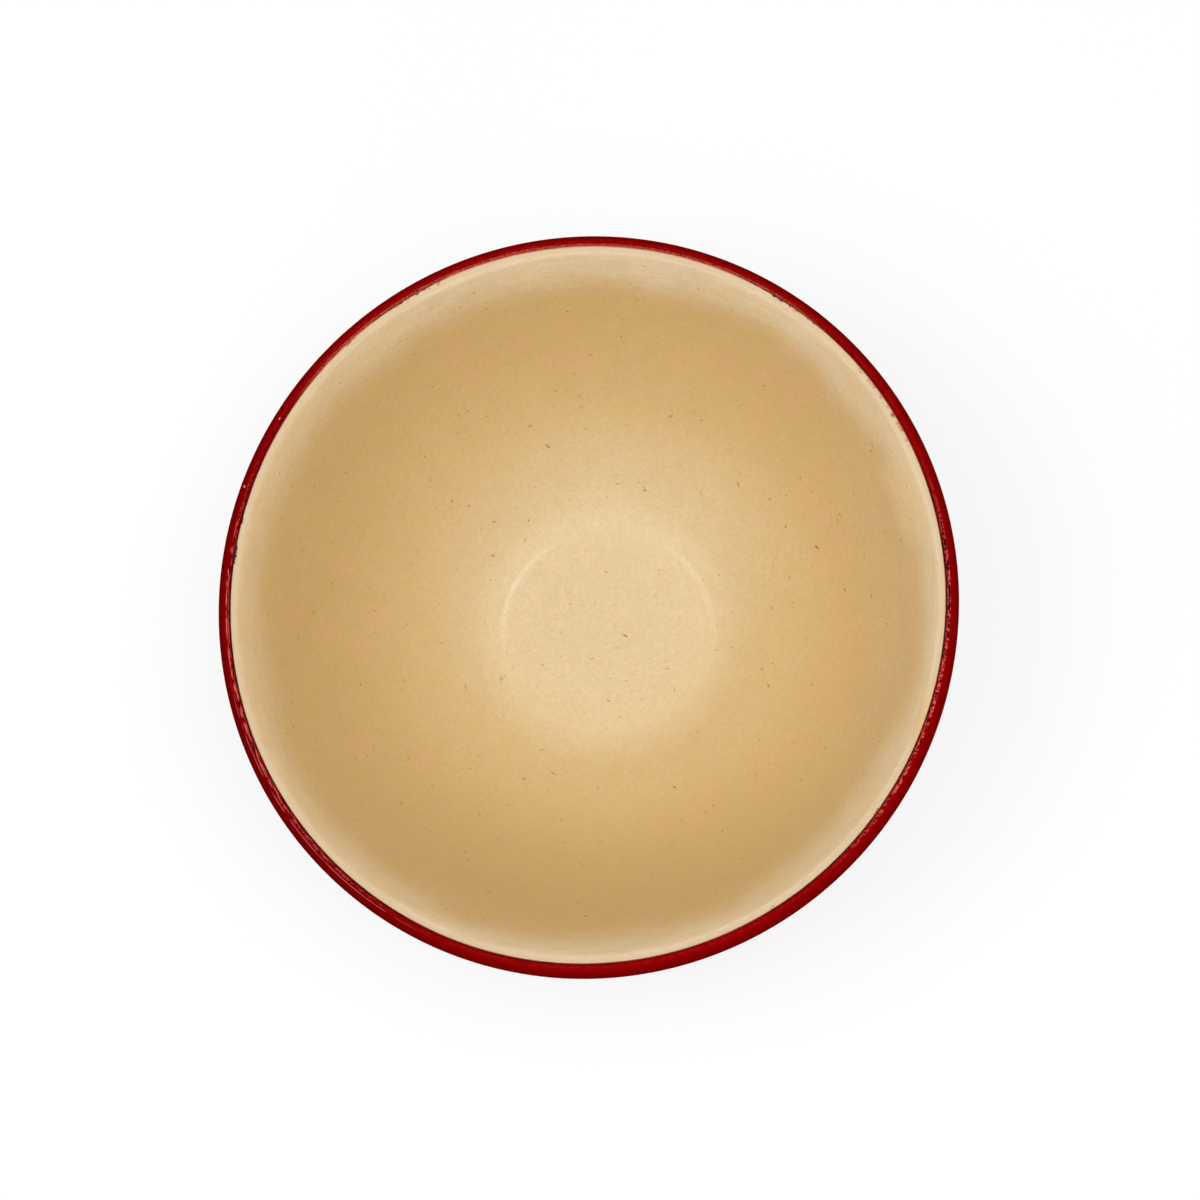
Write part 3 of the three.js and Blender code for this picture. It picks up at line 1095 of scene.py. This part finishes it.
# %% Red finish
def red_finish(tree, place):
    """Body, land and wear as the colour, roughness by clouds and scuff, grain as a bump, and the coat."""
    clouds = use(tree, grain, place, Broad=160.0, Fine=3200.0)
    land = painted(tree, "land")
    ridges = land_ridges(tree, place)
    colour = red_body(tree, place, clouds, land)
    colour = trimmed_land(tree, place, ridges, colour)
    colour = worn_rim(tree, clouds, ridges, colour)
    scuff = foot_scuff(tree, place, clouds)
    rough = maths(tree, "ADD", times(tree, clouds["Tone"], 0.3), 0.5)
    lift = maths(tree, "ADD", times(tree, land, 0.85), 0.15)
    relief = times(tree, clouds["Height"], lift)
    bump = add(tree, "ShaderNodeBump", {"Height": relief, "Strength": 0.6, "Distance": 0.3 * MM})
    return {
        "Base Color": lay(tree, colour, SCUFF_RED, scuff),
        "Roughness": maths(tree, "ADD", rough, times(tree, scuff, 0.25)),
        "Normal": bump.outputs[0],
        "Specular IOR Level": 0.0,
        "Coat Weight": times(tree, painted(tree, "polish"), 0.3),
        "Coat Roughness": 0.28,
    }


dress(shell.data, "red_fibre", red_finish)

# %% [markdown]
# ### Bond resin
# The joint is filled with a dark brown resin, which is tinted red where it is full and orange on the far
# side, partly from wear and partly painted light. One dark colour would do from afar. Mixed tones follow the
# filling, which the ring already knows.

# %% Bond finish
RESIN_DARK = ((0.02, 0.007, 0.005), (0.06, 0.014, 0.009))
RESIN_RED = ((0.20, 0.006, 0.004), (0.34, 0.03, 0.018))
# The orange tones are partly wear and partly painted light on the far side.
RESIN_WORN_LIT = ((0.46, 0.10, 0.06), (0.66, 0.22, 0.13))


def bond_finish(tree, place):
    """Dark resin that turns red where the joint is filled, each between two tones of the grain."""
    clouds = use(tree, grain, place, Broad=400.0, Fine=1800.0)
    tone = step(tree, clouds["Tone"], -0.2, 0.2)
    dark, red, worn_and_lit = (mix(tree, tone, *pair) for pair in (RESIN_DARK, RESIN_RED, RESIN_WORN_LIT))
    filled = lay(tree, red, worn_and_lit, "worn_and_lit")
    return {"Base Color": lay(tree, filled, dark, "starved"), "Roughness": 0.6}


dress(bond.data, "bond_resin", bond_finish)

# %% [markdown]
# ## Floor
# The bowl stands on a plain white floor. A white world could stand in for it, but then the bowl would have
# no shadow. The floor is white to the camera and in reflections by a light of its own, and stays a mid grey
# for everything else, so that it doesn't light the bowl from below.

# %% White floor
FLOOR_HALF = 3.0
FLOOR_GREYS = ((0.25, 0.25, 0.25), (0.27, 0.27, 0.27))
FLOOR_GLOW = (0.745, 0.745, 0.745)


def floor_finish(tree, place):
    """Matt grey, with a light of its own for the camera and for reflections."""
    fine = add(tree, "ShaderNodeTexNoise", {"Vector": place, "Scale": 4.0}).outputs["Fac"]
    grey = mix(tree, step(tree, fine, 0.3, 0.7), *FLOOR_GREYS)
    path = add(tree, "ShaderNodeLightPath").outputs
    seen = maths(tree, "MAXIMUM", path["Is Camera Ray"], path["Is Glossy Ray"])
    seen = maths(tree, "MAXIMUM", seen, path["Is Transmission Ray"])
    glow = mix(tree, seen, (0.0, 0.0, 0.0), FLOOR_GLOW)
    return {"Base Color": grey, "Roughness": 0.9, "Emission Color": glow, "Emission Strength": 1.0}


corners = FLOOR_HALF * np.array([[-1, -1, 0], [1, -1, 0], [1, 1, 0], [-1, 1, 0]])
ground = bpy.data.meshes.new("floor")
ground.from_pydata(corners, [], [[0, 1, 2, 3]])
dress(ground, "floor_white", floor_finish)
floor = bpy.data.objects.new("floor", ground)
bpy.context.scene.collection.objects.link(floor)
print("floor", 2 * FLOOR_HALF, "m wide")

# %% [markdown]
# ## Light
# A wide soft box hangs over the bowl and lights the floor of it. Two small ones lean a little to the left
# and to the right, and the step round the floor shows each of them as an arc. One bright sky could light
# the bowl too, but this world is bright at the horizon only, so each wall is lit from the side it faces.

# %% Soft boxes and world
SOFT_BOXES = (
    ("over_box", -90, 1, 1.1, 1.1, 5.1),
    ("left_box", 187, 21, 0.9, 0.36, 1.75),
    ("right_box", -12, 13, 0.9, 0.36, 2.15),
)
HORIZON_LEVEL = 2.25
ZENITH_LEVEL = 0.03
HORIZON_TOP = 0.08
ZENITH_START = 0.54


def soft_box(name, direction, lean, distance, size, watts):
    """Square lamp at a distance from the bowl, in a direction round it and leaning from the vertical, all
    in degrees and metres, turned to face the bowl."""
    turn, tip = math.radians(direction), math.radians(lean)
    back = np.array([math.sin(tip) * math.cos(turn), math.sin(tip) * math.sin(turn), math.cos(tip)])
    side = np.array([-math.sin(turn), math.cos(turn), 0])
    lamp = bpy.data.lights.new(name, "AREA")
    lamp.size = size
    lamp.energy = watts
    stand(name, lamp, side, np.cross(back, side), back, back * distance)


for facts in SOFT_BOXES:
    soft_box(*facts)

world = bpy.data.worlds.new("studio")
bpy.context.scene.world = world
world.use_nodes = True
sky = world.node_tree
sky.nodes.clear()
skyward = add(sky, "ShaderNodeTexCoord").outputs["Generated"]
upward = add(sky, "ShaderNodeSeparateXYZ", {0: skyward}).outputs["Z"]
level = step(sky, upward, HORIZON_TOP, ZENITH_START, HORIZON_LEVEL, ZENITH_LEVEL)
glow = add(sky, "ShaderNodeBackground", {"Color": level, "Strength": 1.0})
add(sky, "ShaderNodeOutputWorld", {"Surface": glow.outputs[0]})
bpy.context.scene.view_settings.view_transform = "Standard"
print(len(SOFT_BOXES), "soft boxes, horizon level", HORIZON_LEVEL)
